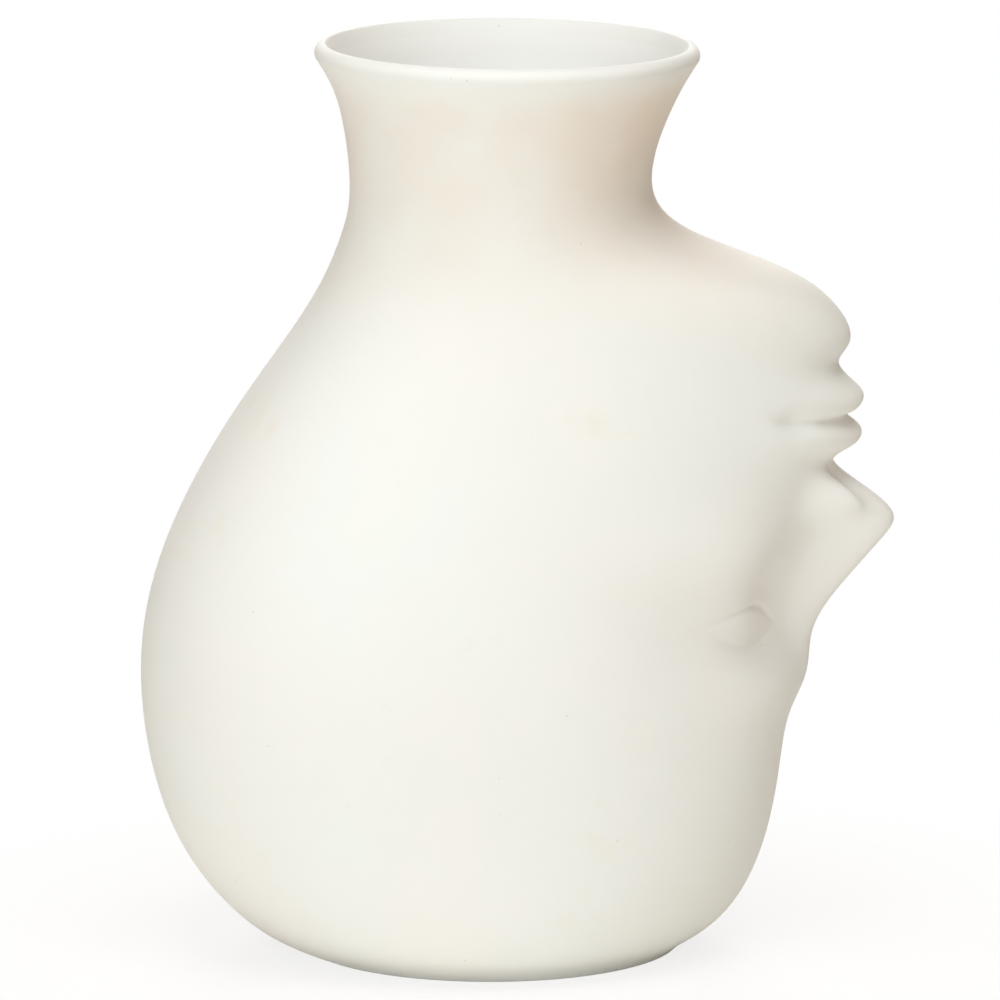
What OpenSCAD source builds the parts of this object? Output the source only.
// Face vase: a head standing on its crown, with its neck turned up as the vase's mouth.
// Slip-cast porcelain shell, bare outside and glazed inside. Z is up and the face looks along +X.
// The origin is on the standing surface, under the middle of the vase's outline.

/* [Overall] */
// Height from the standing surface to the crest of the lip
vase_h = 280; // [262:1:298]
// Height of the jaw's corner, where the head turns into the neck
head_h = 206; // [198:1:214]

/* [Head] */
// Reach of the back of the head behind the origin
back_reach = 116; // [107:0.5:125]
// Reach of the brow in front of the origin
brow_reach = 83; // [77:0.5:89]
// Reach of the jaw in front of the origin
jaw_reach = 96; // [90:0.5:102]
// Breadth across the temples
head_w = 157; // [146:1:168]
// Breadth across the jaw
jaw_w = 111; // [103:1:119]

/* [Neck and lip] */
// Outer diameter of the neck's waist
neck_d = 92.4; // [86:0.2:99]
// Place of the neck's axis, behind the origin
neck_back = 5.2; // [3:0.2:8]
// Outer diameter of the flared lip
lip_d = 116.6; // [108:0.2:125]
// Place of the lip's middle, behind the origin
lip_back = 3.3; // [1:0.1:6]
// Fall of the lip from the back to the front
lip_fall = 1; // [0:0.1:3]

/* [Foot] */
// Outer diameter of the standing ring
foot_d = 116; // [106:1:120]
// Place of the ring's middle, behind the origin
foot_back = 8.5; // [6:0.5:11]
// Width of the ring's ground face
foot_ring_w = 6; // [4:0.5:9]
// Depth of the recess inside the ring
foot_recess = 2.2; // [1:0.1:3.4]

/* [Wall and glaze] */
// Thickness of the shell
wall = 4.6; // [3.6:0.1:6]
// Thickness of the rounded lip, to which the shell swells over the flare
lip_w = 6; // [4.8:0.1:7.6]
// Thickness of the floor over the recess
floor_t = 4.8; // [4:0.1:7]
// Thickness of the glaze inside
glaze_t = 0.4; // [0.25:0.05:0.8]
// Distance of the glaze's edge from the last ring under the lip
glaze_drop = 3; // [1:0.5:7]

/* [Face] */
// Height of the face from the crown to the chin, along its lean
face_h = 211; // [203:1:219]
// Lean of the face, chin forward, in degrees
face_lean = 10; // [7:0.5:13]
// Rise of the nose's ridge
nose_out = 24.5; // [18:0.5:28]
// Width of the nose across its tip
nose_w = 26; // [22:0.5:30]
// Distance between the middles of the eyes
eye_span = 62; // [56:1:68]
// Depth of the eye hollows
eye_hollow = 13.5; // [10:0.5:16]
// Rise of the closed lids in the hollows
lid_out = 9; // [6:0.5:11]
// Rise of the brow ridges
brow_out = 5.5; // [3:0.5:7]
// Rise of the cheekbones
cheek_out = 6; // [3:0.5:7.5]
// Width of the mouth
mouth_w = 50; // [44:1:56]
// Rise of the lips
lips_out = 6.8; // [5:0.1:8.4]
// Rise of the chin
chin_out = 5.5; // [3:0.5:8]

/* [Hidden] */

// Rings of the loft between each two stations, outside and inside
outer_steps = [2, 2, 2, 11, 12, 12, 12, 6, 3, 2, 3, 3];
inner_steps = [0, 1, 1, 2, 2, 3, 3, 2, 3, 2, 2, 2];
// Points round a ring, and how far they crowd towards the face
ring_points = 50;
crowding = 0.55;
// Segments of the lip's half round
lip_steps = 4;
// Step of the slopes that give the surface its normals
slope_step = 0.01;
eps = 0.05;

head_r = head_w / 2;
jaw_r = jaw_w / 2;
neck_r = neck_d / 2;
lip_r = lip_d / 2;
foot_r = foot_d / 2;
// The lip's half round stands this far over the last ring, because the flare tips it outwards
lip_rise = 0.758 * lip_w;
lip_z = vase_h - lip_rise - lip_fall / 2;
neck_h = lip_z - head_h;
// Ring between the waist and the lip, where the neck has begun to flare
flare_r = neck_r + 0.385 * (lip_r - neck_r);
flare_back = neck_back + 0.7 * (lip_back - neck_back);

// Station of the loft: back x and z, front x and z, half breadth, egg and squareness.
// A positive egg draws the face end narrower, and squareness swells the ring's corners.
function station(back_x, back_z, front_x, front_z, half_w, egg, square) =
  [back_x, back_z, front_x, front_z, half_w, egg, square];

// Stations from the foot over the crown, brow, cheeks and jaw to the neck's waist and the lip
stations = [
  station(-foot_back - foot_r, 0, foot_r - foot_back, 0, foot_r, 0, 0),
  station(-0.654 * back_reach, 0.019 * head_h, 0.659 * brow_reach, 0.019 * head_h,
          0.822 * head_r, 0.01, 0),
  station(-0.774 * back_reach, 0.068 * head_h, 0.805 * brow_reach, 0.068 * head_h,
          0.943 * head_r, 0.03, 0.01),
  station(-0.927 * back_reach, 0.194 * head_h, 0.939 * brow_reach, 0.194 * head_h,
          0.987 * head_r, 0.05, 0.02),
  station(-back_reach, 0.398 * head_h, brow_reach, 0.388 * head_h, head_r, 0.08, 0.02),
  station(-0.944 * back_reach, 0.592 * head_h, 0.895 * jaw_reach, 0.558 * head_h,
          0.936 * head_r, 0.12, 0.02),
  station(-0.786 * back_reach, 0.772 * head_h, 0.958 * jaw_reach, 0.728 * head_h,
          0.822 * head_r, 0.16, 0.02),
  station(-0.619 * back_reach, 0.91 * head_h, jaw_reach, 0.883 * head_h, jaw_r, 0.2, 0.02),
  station(-0.519 * back_reach, head_h, 0.926 * jaw_reach, 0.995 * head_h, 0.9 * jaw_r, 0.16, 0.01),
  station(-neck_back - 1.05 * neck_r, head_h + 0.228 * neck_h,
          1.368 * neck_r - neck_back, head_h + 0.185 * neck_h, 1.01 * neck_r, 0.05, 0),
  station(-neck_back - neck_r, head_h + 0.456 * neck_h,
          neck_r - neck_back, head_h + 0.428 * neck_h, neck_r, 0, 0),
  station(-flare_back - flare_r, head_h + 0.798 * neck_h,
          flare_r - flare_back, head_h + 0.784 * neck_h, flare_r, 0, 0),
  station(-lip_back - lip_r, lip_z + lip_fall / 2, lip_r - lip_back, lip_z - lip_fall / 2, lip_r, 0, 0)
];
top = len(stations) - 1;
level = station(0, 0, 0, 0, 0, 0, 0);

// Bend of a natural cubic spline at each station, by one sweep up and one sweep down
function sweep_weight(i) = i <= 0 ? 0 : 1 / (4 - sweep_weight(i - 1));
function second_difference(i) = 6 * (stations[i + 1] - 2 * stations[i] + stations[i - 1]);
function sweep_up(i) =
  i <= 0 ? level : (second_difference(i) - sweep_up(i - 1)) * sweep_weight(i);
function sweep_down(i) =
  i <= 0 || i >= top ? level : sweep_up(i) - sweep_weight(i) * sweep_down(i + 1);
bends = [for (i = [0:top]) sweep_down(i)];

// Station at any height of the loft: t counts stations from the foot
function section(t) =
  let (
    i = min(floor(t), top - 1),
    f = t - i,
    pull = (2 - f) * bends[i] + (1 + f) * bends[i + 1]
  )
  stations[i] * (1 - f) + stations[i + 1] * f - pull * f * (1 - f) / 6;

// Point of the plain head, without its features: a runs round the ring in degrees from the face
function plain(t, a) =
  let (
    s = section(t),
    swell = 1 + s[6] * pow(sin(2 * a), 2),
    along = cos(a) * swell,
    across = sin(a) * swell * (1 - s[5] * cos(a)),
    middle = [(s[0] + s[2]) / 2, 0, (s[1] + s[3]) / 2],
    half = [(s[2] - s[0]) / 2, 0, (s[3] - s[1]) / 2]
  )
  middle + half * along + [0, s[4] * across, 0];

// The face's own axes: down the face from the crown to the chin, and out of it.
// The crown lies on the face's line a little under the standing surface, where the foot cuts it.
down_face = [sin(face_lean), 0, cos(face_lean)];
out_of_face = [cos(face_lean), 0, -sin(face_lean)];
crown = [0.8 * brow_reach, 0, -0.014 * head_h];

// Places of the features down the face, as shares of its height in the usual canon of a head
brow_at = 0.43 * face_h;
eyes_at = 0.5 * face_h;
nose_at = 0.715 * face_h;
mouth_at = 0.81 * face_h;
groove_at = 0.885 * face_h;
chin_at = 0.93 * face_h;
eye_y = eye_span / 2;

// Soft rises and hollows: place down the face, place to the side, rise, half height, half width
forms = [
  [brow_at, 0, 0.45 * brow_out, 0.062 * face_h, 0.057 * face_h],
  [brow_at, 0.81 * eye_y, brow_out, 0.052 * face_h, 0.095 * face_h],
  [eyes_at + 0.01 * face_h, 0.97 * eye_y, -eye_hollow, 0.076 * face_h, 0.08 * face_h],
  [eyes_at - 0.014 * face_h, 1.78 * eye_y, -0.35 * eye_hollow, 0.142 * face_h, 0.066 * face_h],
  [nose_at - 0.123 * face_h, 0.218 * face_h, cheek_out, 0.071 * face_h, 0.08 * face_h],
  [mouth_at - 0.01 * face_h, 0, 0.74 * lips_out, 0.09 * face_h, 0.52 * mouth_w],
  [mouth_at + 0.02 * face_h, 0.84 * mouth_w, -0.41 * lips_out, 0.104 * face_h, 0.28 * mouth_w],
  [groove_at, 0, -0.5 * lips_out, 0.026 * face_h, 0.4 * mouth_w],
  [chin_at, 0, chin_out, 0.057 * face_h, 0.38 * mouth_w]
];
lids = [[eyes_at + 0.015 * face_h, 1.03 * eye_y, lid_out, 0.047 * face_h, 0.065 * face_h]];

function hump(x, half_w) = exp(-pow(x / half_w, 2));
function blend(a, b, x) = let (u = min(1, max(0, (x - a) / (b - a)))) u * u * (3 - 2 * u);
function soft_min(a, b, r) = -r * ln(exp(-a / r) + exp(-b / r));
function soft_max(a, b, r) = -soft_min(-a, -b, r);

// Sum of a list of forms at w down the face and y to the side, each one mirrored to both sides.
// A spread over 1 makes every form wider.
function relief(list, w, y, spread = 1) =
  let (
    parts = [
      for (f = list)
        f[2] * hump(w - f[0], spread * f[3])
          * (hump(y - f[1], spread * f[4]) + (f[1] > 0 ? hump(y + f[1], spread * f[4]) : 0))
    ]
  )
  parts * [for (p = parts) 1];

// The nose: a ridge that climbs from the eyes to a round tip and turns under to the lip,
// a broad foot that joins it to the cheeks, two wings, and a dent for each nostril.
nose_top = eyes_at - 0.028 * face_h;
nose_tip = nose_at - 0.038 * face_h;
under_slope = 2.3;
function ridge_height(w) =
  let (
    climb = (w - nose_top) * nose_out / (nose_tip - nose_top) + 0.14 * nose_out,
    under = (nose_at + 0.026 * face_h - w) * under_slope
  )
  soft_max(soft_min(climb, under, 0.24 * nose_out), 0, 0.11 * nose_out);
function ridge_half_w(w) = nose_w * (0.32 + 0.14 * blend(nose_top, nose_tip, w));
function nose(w, y) =
  let (
    half_w = ridge_half_w(w),
    side = exp(-pow(abs(y) / half_w, 2.5)),
    wing_y = abs(y) - 0.53 * nose_w,
    dent_y = abs(y) - 0.28 * nose_w,
    wing = 0.32 * nose_out * hump(w - nose_at + 0.02 * face_h, 0.03 * face_h),
    dent = 0.14 * nose_out * hump(w - nose_at - 0.002 * face_h, 0.018 * face_h)
  )
  ridge_height(w) * (0.74 * side + 0.26 * hump(y, 1.6 * half_w))
    + wing * hump(wing_y, 0.2 * nose_w)
    - dent * hump(dent_y, 0.15 * nose_w);

// The mouth: two soft lips, the line where they meet, its corners, and the groove under the nose.
// The line drops a little in the middle and lifts a little towards the corners.
function mouth(w, y) =
  let (
    side = abs(y) / mouth_w,
    line = mouth_at + face_h * (0.006 * hump(side, 0.1) - 0.014 * side * side),
    upper = hump(w - line + 0.0275 * face_h, 0.024 * face_h) * exp(-pow(side / 0.46, 2.4)),
    lower = hump(w - line - 0.0295 * face_h, 0.0265 * face_h) * exp(-pow(side / 0.4, 2.4)),
    parting = hump(w - line, 0.009 * face_h) * exp(-pow(side / 0.51, 3.5)),
    corner = hump(w - line, 0.019 * face_h) * hump(side - 0.52, 0.08),
    philtrum = hump(w - mouth_at + 0.059 * face_h, 0.024 * face_h) * hump(side, 0.056)
  )
  lips_out * (upper + 0.97 * lower - 0.45 * parting - 0.3 * corner - 0.2 * philtrum);

// How far the outside rises out of the plain head, and how far the inside follows it.
// Slip casting leaves the inside smoother: it has the broad forms and half of the nose.
function outside_rise(w, y) = relief(forms, w, y) + relief(lids, w, y) + nose(w, y) + mouth(w, y);
function inside_rise(w, y) =
  relief(forms, w, y, 1.2) + 0.5 * ridge_height(w) * hump(y, 1.1 * ridge_half_w(w));

// Point of the head with its features: they fade out at the sides, over the brow and at the neck
function featured(t, a, inside = false) =
  let (
    p = plain(t, a),
    w = (p - crown) * down_face,
    front = blend(0.05, 0.5, cos(a)),
    low = blend(0.15 * head_h, 0.29 * head_h, p[2]),
    high = 1 - blend(head_h, head_h + 0.23 * neck_h, p[2]),
    rise = inside ? inside_rise(w, p[1]) : outside_rise(w, p[1])
  )
  p + out_of_face * rise * front * low * high;

// Outward normal of the surface that the inside follows
function normal_at(t, a) =
  let (
    low_t = min(t, top - slope_step),
    here = featured(low_t, a, true),
    round_step = featured(low_t, a + 100 * slope_step, true) - here,
    up_step = featured(low_t + slope_step, a, true) - here,
    n = cross(round_step, up_step)
  )
  n / norm(n);

// Thickness of the shell at any height, with its swelling under the lip
function wall_at(t) = wall + (lip_w - wall) * blend(top - 1, top, t);

// Point a depth inside the shell, measured square to its surface
function sunk(t, a, depth) = featured(t, a, true) - depth * normal_at(t, a);

function angle_at(j) = 360 * j / ring_points - crowding * 180 / PI * sin(360 * j / ring_points);
angles = [for (j = [0:ring_points - 1]) angle_at(j)];

// Heights of all the rings, from the number of steps between each two stations
function heights(steps) =
  concat([for (i = [0:top - 1]) if (steps[i] > 0) for (k = [0:steps[i] - 1]) i + k / steps[i]], [top]);
function backwards(list) = [for (i = [len(list) - 1:-1:0]) list[i]];
outer_heights = heights(outer_steps);
// The glaze ends on a ring of its own, which the inside shares with it
flare_h = stations[top][1] - stations[top - 1][1];
glaze_top = top - glaze_drop / flare_h;
glazed_heights = concat([for (t = heights(inner_steps)) if (t < glaze_top - eps) t], [glaze_top]);
inner_heights = concat(glazed_heights, [top]);

// Rings on the inside of the shell, or on the glaze where coat is the glaze's thickness
function sunk_rings(list, coat = 0) =
  [for (t = list) [for (a = angles) sunk(t, a, wall_at(t) + coat)]];

// The lip's half round, from the outside over the crest to the inside
function lip_rings() = [
  for (k = [1:lip_steps - 1])
    let (turn = 180 * k / lip_steps)
      [
        for (a = angles)
          let (
            n = normal_at(top, a),
            edge = featured(top, a),
            rise = edge - featured(top - slope_step, a),
            up = rise / norm(rise)
          )
            edge - n * lip_w / 2 + (n * cos(turn) + up * sin(turn)) * lip_w / 2
      ]
];

// Closed solid from rings that run from one pole to the other, with a point on each pole.
// Each four-cornered patch is split on one diagonal, or on the other where slant is true,
// so that two skins that share their rings in opposite order also share their triangles.
module skin(rings, first_pole, last_pole, slant = false) {
  n = len(rings[0]);
  last = len(rings) - 1;
  points = concat([for (r = rings) each r], [first_pole, last_pole]);
  walls = [
    for (i = [0:last - 1])
      for (j = [0:n - 1])
        let (
          k = (j + 1) % n,
          a = i * n + j,
          b = (i + 1) * n + j,
          c = (i + 1) * n + k,
          d = i * n + k
        )
          each slant ? [[a, b, d], [b, c, d]] : [[a, b, c], [a, c, d]]
  ];
  poles = [
    for (j = [0:n - 1])
      let (k = (j + 1) % n)
        each [
          [(last + 1) * n, j, k],
          [(last + 1) * n + 1, last * n + k, last * n + j]
        ]
  ];
  polyhedron(points = points, faces = concat(walls, poles));
}

floor_z = foot_recess + floor_t;
function floor_pole(depth) = [-foot_back, 0, floor_z + depth];

// Bare porcelain: the outside, the lip, the inside and the floor are one skin, cast in one pour.
// The recess leaves a ground ring for the vase to stand on.
module porcelain_body() {
  outside = [for (t = outer_heights) [for (a = angles) featured(t, a)]];
  inside = sunk_rings(backwards(inner_heights));
  color("whitesmoke")
    difference() {
      skin(concat(outside, lip_rings(), inside), [-foot_back, 0, 0], floor_pole(0));
      translate([-foot_back, 0, 0])
        rotate_extrude($fn = 96)
          polygon([
            [0, -eps],
            [foot_r - foot_ring_w + eps, -eps],
            [foot_r - foot_ring_w - foot_recess, foot_recess],
            [0, foot_recess]
          ]);
    }
}

// Glaze fired onto the inside, from just under the lip down to the floor
module glaze_lining() {
  color("white")
    skin(
      concat(
        sunk_rings(glazed_heights),
        sunk_rings(backwards(glazed_heights), glaze_t)
      ),
      floor_pole(0),
      floor_pole(glaze_t),
      slant = true
    );
}

porcelain_body();
glaze_lining();
